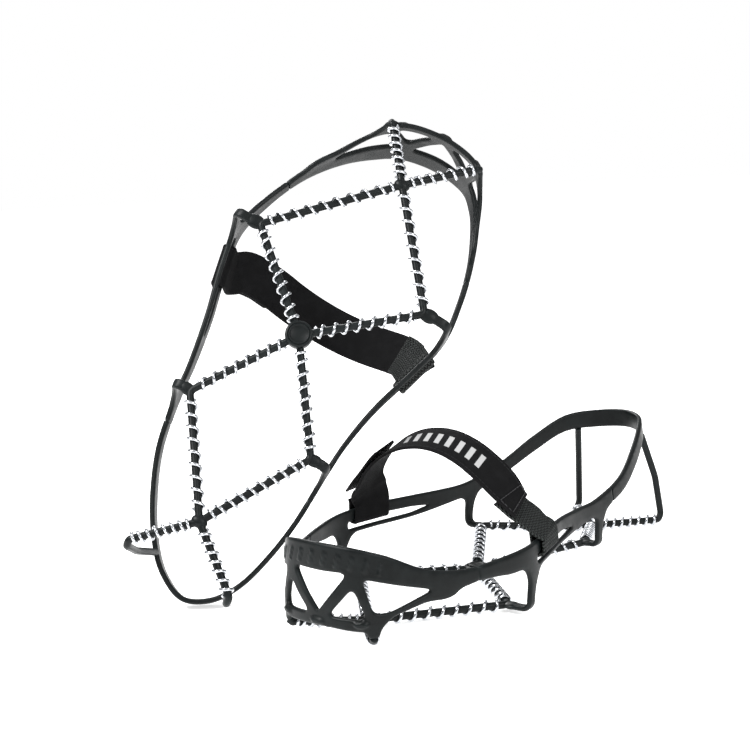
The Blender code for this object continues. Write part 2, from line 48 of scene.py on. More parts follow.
# ---------------------------------------------------------------- camera, light, floor
CAM_AT = Vector((0.5045, -0.6776, 0.2570))
CAM_AZ, CAM_EL, CAM_ROLL = (math.radians(a) for a in (40.36, 9.15, -2.72))
CAM_LENS, CAM_SENSOR = 71.57, 36.0
CAM_NEAR, CAM_FAR = 0.01, 50.0
SKY_LOW, SKY_HIGH = (0.50, (0.10, 0.105, 0.11, 1.0)), (0.92, (0.85, 0.85, 0.85, 1.0))
MIDDLE = (-0.02, -0.05, 0.08)
LIGHTS = (("key", (-0.35, -0.85, 1.05), MIDDLE, 0.45, 17.0),     # name, place, aim, size, watts
          ("fill", (0.95, -0.25, 0.7), MIDDLE, 0.5, 5.0),
          ("rim", (-0.9, 0.55, 0.75), (0.0, 0.0, 0.08), 0.5, 7.0))
FLOOR_R, FLOOR_SIDES, FLOOR_Z, FLOOR_GLOW = 6.0, 96, -0.0002, 0.62
WHITE = (1.0, 1.0, 1.0, 1.0)


def set_camera():
    fwd = Vector((-math.sin(CAM_AZ) * math.cos(CAM_EL), math.cos(CAM_AZ) * math.cos(CAM_EL),
                  -math.sin(CAM_EL)))
    right = Vector((math.cos(CAM_AZ), math.sin(CAM_AZ), 0.0))
    up = right.cross(fwd)
    x = right * math.cos(CAM_ROLL) + up * math.sin(CAM_ROLL)
    y = up * math.cos(CAM_ROLL) - right * math.sin(CAM_ROLL)
    data = bpy.data.cameras.new("camera")
    data.lens, data.sensor_width = CAM_LENS, CAM_SENSOR
    data.clip_start, data.clip_end = CAM_NEAR, CAM_FAR
    cam = bpy.data.objects.new("camera", data)
    cam.matrix_world = Matrix.Translation(CAM_AT) @ Matrix((x, y, -fwd)).transposed().to_4x4()
    SCENE.collection.objects.link(cam)
    SCENE.camera = cam


def set_light():
    """Grey gradient and three disc lights for the pieces; the camera itself sees plain white."""
    SCENE.view_settings.view_transform = "Standard"
    world = bpy.data.worlds.new("studio")
    world.use_nodes = True
    tree = world.node_tree
    back = tree.nodes["Background"]
    back.inputs["Strength"].default_value = 1.0
    split = tree.nodes.new("ShaderNodeSeparateXYZ")
    tree.links.new(tree.nodes.new("ShaderNodeTexCoord").outputs["Generated"], split.inputs[0])
    sky = tree.nodes.new("ShaderNodeValToRGB")
    for stop, (position, colour) in zip(sky.color_ramp.elements, (SKY_LOW, SKY_HIGH)):
        stop.position, stop.color = position, colour
    half = tree.nodes.new("ShaderNodeMath")
    half.operation = "MULTIPLY_ADD"
    half.inputs[1].default_value = half.inputs[2].default_value = 0.5
    tree.links.new(split.outputs[2], half.inputs[0])
    tree.links.new(half.outputs[0], sky.inputs[0])
    mix = tree.nodes.new("ShaderNodeMix")
    mix.data_type = "RGBA"
    tree.links.new(tree.nodes.new("ShaderNodeLightPath").outputs["Is Camera Ray"], mix.inputs[0])
    tree.links.new(sky.outputs[0], mix.inputs[6])
    mix.inputs[7].default_value = WHITE
    tree.links.new(mix.outputs[2], back.inputs["Color"])
    SCENE.world = world
    for name, at, aim, size, power in LIGHTS:
        data = bpy.data.lights.new(name, "AREA")
        data.shape, data.size, data.energy = "DISK", size, power
        ob = bpy.data.objects.new(name, data)
        turn = (Vector(aim) - Vector(at)).to_track_quat("-Z", "Y")
        ob.matrix_world = Matrix.Translation(Vector(at)) @ turn.to_matrix().to_4x4()
        SCENE.collection.objects.link(ob)


def set_floor():
    me = bpy.data.meshes.new("floor")
    angles = [2 * math.pi * k / FLOOR_SIDES for k in range(FLOOR_SIDES)]
    ring = [(FLOOR_R * math.cos(a), FLOOR_R * math.sin(a), FLOOR_Z) for a in angles]
    me.from_pydata(ring, [], [list(range(FLOOR_SIDES))])
    ob = bpy.data.objects.new("floor", me)
    SCENE.collection.objects.link(ob)
    nodes = Nodes("floor")
    nodes.base((0.93, 0.93, 0.93), 0.9)
    nodes.specular(0.0)
    nodes.shader.inputs["Emission Color"].default_value = WHITE
    nodes.shader.inputs["Emission Strength"].default_value = FLOOR_GLOW
    me.materials.append(nodes.material)


# ---------------------------------------------------------------- materials
class Nodes:
    """A Principled material with short helpers to wire procedural detail."""

    def __init__(self, name):
        self.material = bpy.data.materials.new(name)
        self.material.use_nodes = True
        self.tree = self.material.node_tree
        self.shader = self.tree.nodes["Principled BSDF"]

    def add(self, kind, **values):
        node = self.tree.nodes.new(kind)
        for key, value in values.items():
            setattr(node, key, value)
        return node

    def feed(self, value, socket):
        if hasattr(value, "is_output"):
            self.tree.links.new(value, socket)
        elif isinstance(value, tuple) and len(value) == 3 and len(socket.default_value) == 4:
            socket.default_value = (*value, 1.0)
        else:
            socket.default_value = value

    def math(self, op, a, b=0.0, c=0.0):
        node = self.add("ShaderNodeMath", operation=op)
        for value, socket in zip((a, b, c), node.inputs):
            self.feed(value, socket)
        return node.outputs[0]

    def noise(self, scale, detail=2.0, rough=0.5):
        """Noise in the piece's own metres."""
        node = self.add("ShaderNodeTexNoise")
        node.inputs["Scale"].default_value = scale
        node.inputs["Detail"].default_value = detail
        node.inputs["Roughness"].default_value = rough
        where = self.add("ShaderNodeTexCoord").outputs["Object"]
        self.tree.links.new(where, node.inputs["Vector"])
        return node.outputs["Fac"]

    def wave(self, value, pitch):
        """Sine of a length in millimetres that repeats every pitch millimetres."""
        return self.math("SINE", self.math("MULTIPLY", value, 2 * math.pi / pitch))

    def cloth(self):
        """Across and along the strap, in millimetres."""
        split = self.add("ShaderNodeSeparateXYZ")
        self.tree.links.new(self.add("ShaderNodeUVMap", uv_map="cloth").outputs[0], split.inputs[0])
        return split.outputs[0], split.outputs[1]

    def ramp(self, value, low, high, to_low=0.0, to_high=1.0):
        node = self.add("ShaderNodeMapRange")
        for part, socket in zip((value, low, high, to_low, to_high), node.inputs):
            self.feed(part, socket)
        return node.outputs[0]

    def mix(self, factor, a, b):
        node = self.add("ShaderNodeMix", data_type="RGBA")
        self.feed(factor, node.inputs[0])
        self.feed(a, node.inputs[6])
        self.feed(b, node.inputs[7])
        return node.outputs[2]

    def bump(self, *layers):
        """Layers of (height, strength, depth in metres), finest last."""
        last = None
        for height, strength, depth in layers:
            node = self.add("ShaderNodeBump")
            node.inputs["Strength"].default_value = strength
            node.inputs["Distance"].default_value = depth
            self.tree.links.new(height, node.inputs["Height"])
            if last is not None:
                self.tree.links.new(last, node.inputs["Normal"])
            last = node.outputs[0]
        self.tree.links.new(last, self.shader.inputs["Normal"])

    def base(self, colour, rough, metal=0.0):
        self.feed(colour, self.shader.inputs["Base Color"])
        self.feed(rough, self.shader.inputs["Roughness"])
        self.shader.inputs["Metallic"].default_value = metal

    def specular(self, level):
        self.shader.inputs["Specular IOR Level"].default_value = level


def rubber():
    """Black moulded rubber, slightly cloudy, greyer on its sharp edges: partly edge wear, partly a
    painted edge highlight.
    """
    n = Nodes("moulded_rubber")
    cloud, grain = n.noise(130.0, 3.0), n.noise(2600.0, 2.0)
    # lighter on sharp convex edges: partly wear, partly a painted highlight standing in for light
    # catching the edges
    wear_and_edge_highlight = n.ramp(n.add("ShaderNodeNewGeometry").outputs["Pointiness"], 0.505, 0.60)
    colour = n.mix(n.ramp(cloud, 0.35, 0.7),
                   (0.0026, 0.0037, 0.0038), (0.0062, 0.0082, 0.0084))
    colour = n.mix(n.math("MULTIPLY", wear_and_edge_highlight, 0.35), colour, (0.020, 0.026, 0.027))
    n.base(colour, n.math("ADD", n.ramp(cloud, 0.3, 0.7, 0.34, 0.46),
                          n.ramp(grain, 0.3, 0.7, -0.03, 0.05)))
    n.specular(0.17)
    n.bump((cloud, 0.12, 0.0004), (grain, 0.22, 0.00006))
    return n.material


def steel():
    """Bright spring wire with fine drawing marks."""
    n = Nodes("sprung_steel")
    cloud, scratch = n.noise(420.0, 3.0), n.noise(2400.0, 3.0, rough=0.7)
    colour = n.mix(n.ramp(cloud, 0.35, 0.7), (0.66, 0.675, 0.70), (0.46, 0.475, 0.50))
    n.base(colour, n.ramp(scratch, 0.3, 0.75, 0.13, 0.28), 1.0)
    n.bump((scratch, 0.10, 0.00004))
    return n.material


WARP_PITCH, WEFT_PITCH = 0.55, 0.62                  # weave of the webbing, mm
STITCH_STEP, STITCH_LONG, STITCH_IN, STITCH_HALF = 1.3, 0.95, 2.2, 0.22
BAR_LEAN, BAR_SHARE = 0.32, 0.46                     # slant of a printed bar, ink per pitch
RIB_COLUMN, RIB_SLANT, RIB_PITCH = 1.25, 1.1, 1.9    # ribs of the elastic, mm


def line_of(n, at, where, half):
    """1 inside a thin line at a place across or along the strap, 0 outside."""
    return n.math("LESS_THAN", n.math("ABSOLUTE", n.math("SUBTRACT", where, at)), half)


def webbing(width, printed=None):
    """Smooth black band with a fine weave, sewn edges and, if asked, a row of plain slanted bars."""
    n = Nodes("band_webbing" if printed else "tab_webbing")
    across, along = n.cloth()
    weave = n.math("MULTIPLY", n.wave(across, WARP_PITCH), n.wave(along, WEFT_PITCH))
    fuzz = n.noise(3200.0, 2.0)
    cloud = n.noise(160.0, 3.0)
    colour = n.mix(n.ramp(n.math("ADD", weave, n.math("MULTIPLY", fuzz, 1.2)), 0.0, 1.6),
                   (0.0028, 0.0028, 0.0030), (0.0125, 0.0125, 0.0132))
    colour = n.mix(n.ramp(cloud, 0.45, 0.8, 0.0, 0.3), colour, (0.016, 0.016, 0.017))
    edge = n.math("ABSOLUTE", across)
    dash = n.math("LESS_THAN", n.math("PINGPONG", along, STITCH_STEP), STITCH_LONG)
    seam = line_of(n, width / 2 - STITCH_IN, edge, STITCH_HALF)
    stitches = n.math("MULTIPLY", seam, dash)
    colour = n.mix(n.math("MULTIPLY", stitches, 0.7), colour, (0.030, 0.030, 0.032))
    if printed:
        first, last, bars, half = printed
        pitch = (last - first) / bars
        lean = n.math("MULTIPLY_ADD", across, BAR_LEAN, along)
        step = n.math("DIVIDE", n.math("SUBTRACT", lean, first), pitch)
        bar = n.math("LESS_THAN", n.math("FRACT", step), BAR_SHARE)
        in_row = n.math("MULTIPLY", n.math("GREATER_THAN", step, 0.0),
                        n.math("LESS_THAN", step, float(bars) - 0.02))
        field = n.math("MULTIPLY", n.math("LESS_THAN", edge, half), in_row)
        ink = n.math("MULTIPLY", n.math("MULTIPLY", bar, field),
                     n.ramp(fuzz, 0.25, 0.4, 0.86, 1.0))
        colour = n.mix(ink, colour, (0.44, 0.44, 0.44))
    n.base(colour, 0.78)
    n.specular(0.06)
    n.bump((weave, 0.35, 0.00008), (fuzz, 0.3, 0.00006), (stitches, 0.8, 0.00025))
    return n.material


def elastic():
    """Ribbed elastic: columns of slanting ribs that lean alternate ways, with painted highlight on the
    rib crests and painted shade in the grooves.
    """
    n = Nodes("ribbed_elastic")
    across, along = n.cloth()
    column = n.math("PINGPONG", across, RIB_COLUMN)
    rib = n.wave(n.math("MULTIPLY_ADD", column, RIB_SLANT, along), RIB_PITCH)
    groove = n.wave(across, RIB_COLUMN)
    height = n.math("ADD", n.math("MULTIPLY", rib, 0.7), n.math("MULTIPLY", groove, 0.35))
    fuzz = n.noise(3000.0, 2.0)
    # painted light and shade: the colour follows the rib height, lighter on the crests and darker down
    # in the grooves
    rib_light_and_shade = n.ramp(n.math("ADD", height, n.math("MULTIPLY", fuzz, 0.6)), -0.3, 1.3)
    colour = n.mix(rib_light_and_shade, (0.0020, 0.0022, 0.0022), (0.052, 0.058, 0.056))
    n.base(colour, 0.72)
    n.specular(0.12)
    n.bump((height, 1.0, 0.00045), (fuzz, 0.3, 0.00006))
    return n.material


def thread():
    n = Nodes("sewing_thread")
    twist = n.noise(5200.0, 2.0)
    colour = n.mix(n.ramp(twist, 0.3, 0.7), (0.010, 0.010, 0.011), (0.040, 0.040, 0.042))
    n.base(colour, 0.6)
    n.bump((twist, 0.4, 0.00005))
    return n.material


# ---------------------------------------------------------------- the sole net and band, in numbers
# F and f count forward from the disc, W and w sideways from the sole's centre line, Z and z up.
BOW, BOW_AT = 9.6, 140.0   # sideways bow of the sole's centre line, reached this far from the disc
CORD_Z, CORD_R, CORD_SIDES = 3.8, 2.12, 16
HUB_R, HUB_H = 7.7, 7.0
XF, XR = 106.0, -115.0     # front and rear crossing of the cords
AF, AF_W = 45.5, 52.5      # front side junctions
AR, AR_W, AR_Z = -55.0, 38.0, 12.0                     # rear side junctions
TOE_TIP, TOE_TIP_W, TOE_TIP_Z = 137.0, 26.5, 8.0       # outer ends of the toe coils
HEEL_TIP, HEEL_TIP_W, HEEL_TIP_Z = -141.0, 30.5, 6.0   # outer ends of the heel coils
COIL_R, WIRE_R = 2.88, 0.90
# bare cord beside a junction, beside the rear crossing and beside the disc
COIL_CLEAR, REAR_CLEAR, HUB_CLEAR = 5.5, 6.8, 9.6
# the band: f, w, top and bottom edge, from the toe to the heel
RIM = [(149, 0, 57, 14.5), (144.5, 22, 55.5, 14.5), (132, 35.5, 50.5, 14.5), (113, 46.5, 40.5, 25),
       (92, 56.5, 36.5, 28.5), (70, 63.5, 37, 28), (45, 67.5, 38.5, 24.5), (20, 62.5, 39.8, 25.2),
       (-8, 54.5, 39.8, 26.2), (-34, 49.5, 39, 28.5), (-55, 47.5, 39.5, 31), (-84, 45, 47, 37.5),
       (-108, 39.5, 60, 49), (-129, 31, 71, 60), (-145, 18, 73.5, 62), (-153, 0, 74, 62.5)]
RIM_STEPS = 24
BAND_T, LEAN, LEAN_FROM = 3.0, 0.10, 30.0              # the band leans inward above this height
RAIL_H, STRUT_H = 7.2, 2.8                             # rail above and strut below the strap slot
STRAP_W, TAB_W, STRAP_T, ELASTIC_T, RAIL_CLEAR = 25.0, 24.0, 1.6, 1.7, 0.9
B_TURN, B_HUB = (-119.0, 30.3, 28.8), (-47.3, -90.5, 152.285)


def centre(f):
    """Sideways place of the sole's centre line."""
    return BOW * (f / BOW_AT) ** 2


def point(f, w, z):
    return Vector((centre(f) + w, -f, z))


def catmull(p, q, r, s, t):
    """Point at t between q and r on the curve through four rows of numbers."""
    return [0.5 * (2 * b + (c - a) * t + (2 * a - 5 * b + 4 * c - d) * t * t
                   + (3 * b - a - 3 * c + d) * t ** 3) for a, b, c, d in zip(p, q, r, s)]


def rim_samples():
    """Fine samples (arc length, f, w, top, bottom) from the toe centre to the heel centre."""
    first = (RIM[1][0], -RIM[1][1], RIM[1][2], RIM[1][3])
    last = (RIM[-2][0], -RIM[-2][1], RIM[-2][2], RIM[-2][3])
    knots = [first] + RIM + [last]
    rows = []
    for i in range(1, len(knots) - 2):
        for k in range(RIM_STEPS):
            rows.append(catmull(*knots[i - 1:i + 3], k / RIM_STEPS))
    rows.append(list(RIM[-1]))
    out, run, before = [], 0.0, None
    for f, w, top, bot in rows:
        if before is not None:
            run += math.hypot(f - before[0], w - before[1])
        out.append((run, f, w, top, bot))
        before = (f, w)
    return np.array(out)


RIM_S = rim_samples()
RIM_LEN = float(RIM_S[-1, 0])


def rim_at(s):
    """f, w (always positive), top and bottom of the band at arc length s (0 toe .. RIM_LEN heel)."""
    return [float(np.interp(s, RIM_S[:, 0], RIM_S[:, k])) for k in range(1, 5)]


def arc_at(f):
    """Arc length at which the band passes distance f toward the toe."""
    for a, b in zip(RIM_S, RIM_S[1:]):
        if b[1] <= f <= a[1]:
            return float(a[0] + (b[0] - a[0]) * ((a[1] - f) / max(a[1] - b[1], 1e-9)))
    return RIM_LEN


def wall(s, v, depth, side):
    """Point on the band: s arc from the toe, v height on the band, depth outward, side +1 or -1.
    Below the sole edge the surface rolls inward, so the drop straps curl under the sole."""
    if s < 0.0:
        s, side = -s, -side
    if s > RIM_LEN:
        s, side = 2 * RIM_LEN - s, -side
    f, w, _, _ = rim_at(s)
    f2, w2, _, _ = rim_at(s + 1.5)
    f1, w1, _, _ = rim_at(s - 1.5)
    tan = Vector((side * (w2 - w1) + centre(f2) - centre(f1), -(f2 - f1), 0.0)).normalized()
    out = Vector((tan.y, -tan.x, 0.0)) * side
    blend = min(max((20.0 - f) / 40.0, 0.0), 1.0)      # 0 at the forefoot, 1 at the heel
    z0 = 7.8 + (15.5 - 7.8) * blend                    # sole edge
    r = 4.0 - 0.5 * blend                              # its rounding
    if v < z0:
        a = min((z0 - v) / r, math.pi / 2)
        under = max(z0 - v - r * math.pi / 2, 0.0)
        inward, z = r * (1 - math.cos(a)) + under, z0 - r * math.sin(a)
        n = out * math.cos(a) + Vector((0, 0, -math.sin(a)))
    else:
        inward, z, n = LEAN * max(v - LEAN_FROM, 0.0), v, out
    return Vector((centre(f) + side * w, -f, z)) - out * inward + n * depth


# ---------------------------------------------------------------- moulded band with rounded edges
def rounded(poly, r, n=6, sharp=()):
    """Round the corners of a closed polygon, except those at the arcs in sharp."""
    out = []
    for i, b in enumerate(poly):
        m = Vector(b[:2])
        if any(abs(b[0] - s) < 1e-6 for s in sharp):
            out.append((m.x, m.y))
            continue
        u, v = Vector(poly[i - 1][:2]) - m, Vector(poly[(i + 1) % len(poly)][:2]) - m
        d = min(r, 0.45 * u.length, 0.45 * v.length)
        p, q = m + u.normalized() * d, m + v.normalized() * d
        for k in range(n + 1):
            t = k / n
            e = p * (1 - t) ** 2 + m * 2 * t * (1 - t) + q * t * t
            out.append((e.x, e.y))
    return out


def resample(loop, step):
    """Closed loop cut into even steps, without points on top of each other."""
    out = []
    for a, b in zip(loop, loop[1:] + loop[:1]):
        run = math.hypot(b[0] - a[0], b[1] - a[1])
        n = max(1, int(round(run / step)))
        out += [(a[0] + (b[0] - a[0]) * k / n, a[1] + (b[1] - a[1]) * k / n) for k in range(n)]
    keep = []
    for p in out:
        if not keep or math.hypot(p[0] - keep[-1][0], p[1] - keep[-1][1]) > 0.05:
            keep.append(p)
    return np.array(keep)


def segments(loops):
    return np.concatenate([np.stack([l, np.roll(l, -1, axis=0)], axis=1) for l in loops])


def distance(pts, segs):
    """Distance of each point to the nearest segment."""
    best = np.full(len(pts), 1e9)
    for k in range(0, len(pts), 2000):
        p = pts[k:k + 2000, None, :]
        a, b = segs[None, :, 0], segs[None, :, 1]
        d = b - a
        t = np.clip(((p - a) * d).sum(-1) / np.maximum((d * d).sum(-1), 1e-12), 0, 1)
        best[k:k + 2000] = np.sqrt(((a + t[..., None] * d - p) ** 2).sum(-1)).min(1)
    return best


def inside(pts, segs):
    """Even-odd test of points against closed loops."""
    x, y = pts[:, 0:1], pts[:, 1:2]
    x0, y0, x1, y1 = segs[:, 0, 0], segs[:, 0, 1], segs[:, 1, 0], segs[:, 1, 1]
    rise = np.where(y1 == y0, 1e-12, y1 - y0)
    cross = ((y0 > y) != (y1 > y)) & (x < (x1 - x0) * (y - y0) / rise + x0)
    return cross.sum(1) % 2 == 1


EDGE_R = 1.35              # how far in from its edge the band is rounded
EDGE_RINGS = (0.07, 0.25, 0.55, 1.0)                   # rows of points across that rounding
OUTLINE_STEP, INNER_STEP = 1.25, 2.4                   # spacing of points along and inside the pattern
ON_EDGE = 0.02             # points this near a free edge lie on it


def moulding(outline, holes, side, ends=(), relief=None, fine=None):
    """Cut a flat pattern (arc, height) with holes, give it rounded edges and bend it round the boot.
    ends are arcs where the band carries on as the next piece, so the edge there stays square.
    relief raises the outer face; fine is a corner, the opposite corner and the spacing between them."""
    loops = [resample(l, OUTLINE_STEP) for l in [outline] + holes]
    segs = segments(loops)
    at_end = np.zeros(len(segs), bool)
    for s in ends:
        at_end |= (np.abs(segs[:, :, 0] - s) < 1e-6).all(1)
    free = segs[~at_end]
    pts = [np.concatenate(loops)]
    for ring in EDGE_RINGS:
        for l in loops:
            t = np.roll(l, -1, axis=0) - np.roll(l, 1, axis=0)
            length = np.maximum(np.hypot(t[:, 0], t[:, 1]), 1e-9)
            n = np.stack([-t[:, 1], t[:, 0]], 1) / length[:, None]
            for way in (1, -1):
                q = l + n * (EDGE_R * ring * way)
                q = q[inside(q, segs)]
                pts.append(q[distance(q, segs) > EDGE_R * ring * 0.93])
    grids = [(pts[0].min(0), pts[0].max(0), INNER_STEP)] + ([fine] if fine else [])
    for a, b, step in grids:
        gx, gy = np.meshgrid(np.arange(a[0], b[0], step), np.arange(a[1], b[1], step))
        q = np.stack([gx.ravel(), gy.ravel()], 1)
        q = q[inside(q, segs)]
        pts.append(q[distance(q, segs) > EDGE_R * 1.25])
    flat = np.concatenate(pts)
    seams, base = [], 0
    for l in loops:
        seams += [(base + k, base + (k + 1) % len(l)) for k in range(len(l))]
        base += len(l)
    out = delaunay_2d_cdt([Vector(p) for p in flat], seams, [], 0, 1e-4)
    co = np.array([(v.x, v.y) for v in out[0]])
    tris = np.array([f for f in out[2] if len(f) == 3])
    tris = tris[inside(co[tris].mean(1), segs)]
    d = distance(co, free)
    d[d < ON_EDGE] = 0.0
    t = np.clip(1 - d / EDGE_R, 0, 1)
    half = BAND_T / 2 * np.sqrt(np.clip(1 - t * t, 0, 1))
    verts, front, back = [], {}, {}
    for i in np.unique(tris):
        s, v, h = float(co[i, 0]), float(co[i, 1]), float(half[i])
        extra = relief(s, v) if relief else 0.0
        front[i] = len(verts)
        if d[i] == 0.0:
            back[i] = front[i]
            verts.append(wall(s, v, 0.0, side))
        else:
            verts.append(wall(s, v, h + extra, side))
            back[i] = len(verts)
            verts.append(wall(s, v, -h, side))
    faces, count = [], {}
    for a, b, c in tris:
        if d[a] == d[b] == d[c] == 0.0:      # no thickness anywhere on it
            continue
        faces.append([front[a], front[b], front[c]])
        faces.append([back[c], back[b], back[a]])
        for e in ((a, b), (b, c), (c, a)):
            key = (min(e), max(e))
            count[key] = count.get(key, 0) + 1
    for (a, b), k in count.items():
        if k == 1:
            ring = []
            for i in (front[a], front[b], back[b], back[a]):
                if i not in ring:
                    ring.append(i)
            if len(ring) > 2:
                faces.append(ring)
    return verts, faces


def edge_run(s0, s1, which, step=6.0):
    """Points along the top (2) or bottom (3) edge of the band between two arcs."""
    n = max(1, int(abs(s1 - s0) / step))
    arcs = [s0 + (s1 - s0) * k / n for k in range(n + 1)]
    return [(s, rim_at(abs(s))[which]) for s in arcs]


# arcs where the cradle meets the rails, the rails meet the heel band, and the toe legs leave
S_CRADLE, S_HEEL, S_LEG = arc_at(84.0), arc_at(-72.0), arc_at(139.5)
SEAM = 0.01                # hairline left between neighbouring mouldings
CORNER_R = 5.0             # rounding of a corner of the pattern
BAR_PITCH = 8.4            # grip bars on the toe cup
BUMPS = ((-25.0, 5.2), (0.0, 5.6), (25.0, 5.2))        # arc and half length of the oval bumps


def smooth(x):
    x = min(max(x, 0.0), 1.0)
    return x * x * (3 - 2 * x)


def cradle_relief(s, v):
    """Plain slanted grip bars on the tall top band and three oval bumps on the lower band."""
    top = rim_at(abs(s))[2]
    out = 0.0
    u = (s - 0.28 * (v - 49.5)) / BAR_PITCH
    if abs(u) < 4.5:
        bar = smooth((1.55 - abs((u - math.floor(u) - 0.5) * BAR_PITCH)) / 0.55)
        out += 0.55 * bar * smooth((3.6 - abs(v - (top - 7.6))) / 0.7)
    for at, r in BUMPS:
        q = math.hypot((s - at) / r, (v - 17.3) / 2.3)
        out += 1.5 * smooth((1.0 - q) / 0.55)
    return out


def toe_cradle():
    """Toe cup: tall top band, truss of five windows, lower band with three oval bumps."""
    s_tip = arc_at(101.0)
    end = S_CRADLE - SEAM
    top = edge_run(-end, end, 2)
    low = []
    for sg in (1, -1):
        part = [(end, rim_at(S_CRADLE)[3]), (s_tip + 7, 27.2), (s_tip + 2, 24.0),
                (s_tip - 4, 23.2), (s_tip - 14, 24.0), (S_LEG + 11, 20.0), (S_LEG + 4.5, 14.5),
                (S_LEG + 2.6, 9.5), (S_LEG - 2.6, 9.5), (S_LEG - 4.5, 13.2), (19.0, 13.6), (8.0, 14.5)]
        low.append([(sg * s, v) for s, v in part])
    outline = rounded(top + low[0] + list(reversed(low[1])), CORNER_R, sharp=(end, -end))
    windows = [[(-18, 43), (18, 43), (0.5, 23.0), (-0.5, 23.0)]]
    for sg in (1, -1):
        windows.append([(sg * 21.0, 36.0), (sg * 6.0, 20.5), (sg * 28.0, 19.5)])
        windows.append([(sg * 26.0, 40.5), (sg * 66.5, 29.6), (sg * 39.5, 22.0), (sg * 31.5, 22.5)])
    return moulding(outline, [rounded(w, CORNER_R, 8) for w in windows], 1, (end, -end),
                    cradle_relief, ((-42.0, 14.0), (42.0, 56.0), 0.8))


def side_rail(side):
    """Side rail with the strap slot and its two drop straps that curl under the sole."""
    s0, s1 = S_CRADLE + SEAM, S_HEEL - SEAM
    sf, sr = arc_at(AF), arc_at(AR)
    top = edge_run(s0, s1, 2)
    s_a, s_b = arc_at(62.0), arc_at(32.0)
    low = [(s1, rim_at(s1)[3]), (arc_at(-64.0), rim_at(arc_at(-64.0))[3] - 1.5),
           (sr + 5.5, 26.5), (sr + 3.0, 19.0), (sr + 3.0, 7.0), (sr - 3.0, 7.0), (sr - 3.0, 19.0),
           (sr - 2.0, 27.0), (arc_at(-49.0), 29.6)]
    low += edge_run(arc_at(-42.0), s_b, 3)
    low += [(sf + 10.0, 22.8), (sf + 5.4, 16.5), (sf + 2.8, 7.8), (sf + 3.6, -6.2), (sf - 3.6, -6.2),
            (sf - 2.8, 7.8), (sf - 0.8, 19.0), (sf - 2.8, 24.6), (sf - 7.0, 27.2)]
    low += edge_run(s_a, s0, 3)
    along = [arc_at(f) for f in (38.0, 24.0, 8.0, -8.0)]
    s = arc_at(-21.0)
    slot = [(a, rim_at(a)[3] + STRUT_H) for a in along]
    slot.append((s, (rim_at(s)[2] - RAIL_H + rim_at(s)[3] + STRUT_H) / 2))
    slot += [(a, rim_at(a)[2] - RAIL_H) for a in reversed(along)]
    outline = rounded(top + low, CORNER_R, sharp=(s0, s1))
    return moulding(outline, [rounded(slot, 2.4)], side, (s0, s1))


def heel_band():
    """Band that passes behind the heel, rising from the rails."""
    s0, s1 = S_HEEL + SEAM, 2 * RIM_LEN - S_HEEL - SEAM
    arcs = [s0 + (s1 - s0) * k / 40 for k in range(41)]
    height = [rim_at(s if s <= RIM_LEN else 2 * RIM_LEN - s) for s in arcs]
    top = [(s, h[2]) for s, h in zip(arcs, height)]
    low = [(s, h[3]) for s, h in zip(arcs, height)][::-1]
    return moulding(top + low, [], 1, (s0, s1))


# ---------------------------------------------------------------- cords, knuckles, coils, disc
BEND_R = 3.0               # rounding of a bend in a cord


def fillet(path, r=BEND_R, n=6):
    """Round the inner corners of a path."""
    out = [path[0]]
    for a, b, c in zip(path, path[1:], path[2:]):
        d = min(r, 0.4 * (a - b).length, 0.4 * (c - b).length)
        p, q = b + (a - b).normalized() * d, b + (c - b).normalized() * d
        out += [p * (1 - k / n) ** 2 + b * 2 * (k / n) * (1 - k / n) + q * (k / n) ** 2
                for k in range(n + 1)]
    return out + [path[-1]]


def skin(rows, sides):
    """Faces of a closed body made of rows of points, each row a ring with as many sides."""
    faces = []
    for i in range(rows - 1):
        for k in range(sides):
            a, b = i * sides + k, i * sides + (k + 1) % sides
            faces.append([a, b, b + sides, a + sides])
    faces.append(list(range(sides))[::-1])
    faces.append([(rows - 1) * sides + k for k in range(sides)])
    return faces


def tube(path, radius, sides):
    """Closed round tube along a path."""
    last = len(path) - 1
    tans = [(path[min(i + 1, last)] - path[max(i - 1, 0)]).normalized() for i in range(last + 1)]
    n = tans[0].cross(UP).normalized()
    verts = []
    for p, t in zip(path, tans):
        n = (n - t * n.dot(t)).normalized()
        b = t.cross(n)
        verts += [p + n * (radius * math.cos(2 * math.pi * k / sides))
                  + b * (radius * math.sin(2 * math.pi * k / sides)) for k in range(sides)]
    return verts, skin(len(path), sides)


def blob(at, rx, ry, rz, turn=0.0, seg=24, rings=12):
    """Flattened rubber knuckle at a junction of cords."""
    verts, faces = [], []
    spin = Matrix.Rotation(turn, 3, "Z")
    for j in range(1, rings):
        th = math.pi * j / rings
        for k in range(seg):
            a = 2 * math.pi * k / seg
            verts.append(at + spin @ Vector((rx * math.sin(th) * math.cos(a),
                                             ry * math.sin(th) * math.sin(a), rz * math.cos(th))))
    verts += [at + Vector((0, 0, rz)), at - Vector((0, 0, rz))]
    top, bot = len(verts) - 2, len(verts) - 1
    for j in range(rings - 2):
        for k in range(seg):
            a, b = j * seg + k, j * seg + (k + 1) % seg
            faces.append([a, a + seg, b + seg, b])
    for k in range(seg):
        faces.append([top, k, (k + 1) % seg])
        faces.append([bot, (rings - 2) * seg + (k + 1) % seg, (rings - 2) * seg + k])
    return verts, faces


# places in the net: disc, crossings (PX), side junctions (PA) and leg tips (PT), front (F) and rear (R)
HUB = Vector((0, 0, CORD_Z))
PXF, PXR = point(XF, 0, CORD_Z), point(XR, 0, CORD_Z)
PAF = {s: point(AF, s * AF_W, CORD_Z) for s in (1, -1)}
PAR = {s: point(AR, s * AR_W, AR_Z) for s in (1, -1)}
PTF = {s: point(TOE_TIP, s * TOE_TIP_W, TOE_TIP_Z) for s in (1, -1)}
PTR = {s: point(HEEL_TIP, s * HEEL_TIP_W, HEEL_TIP_Z) for s in (1, -1)}
CROSSING = (4.6, 3.6, 2.6)                             # half sizes of the knuckle where cords cross


def hub_rim(toward):
    """Where a cord that comes from a junction enters the disc."""
    return HUB + (toward - HUB).normalized() * (HUB_R - 0.6)


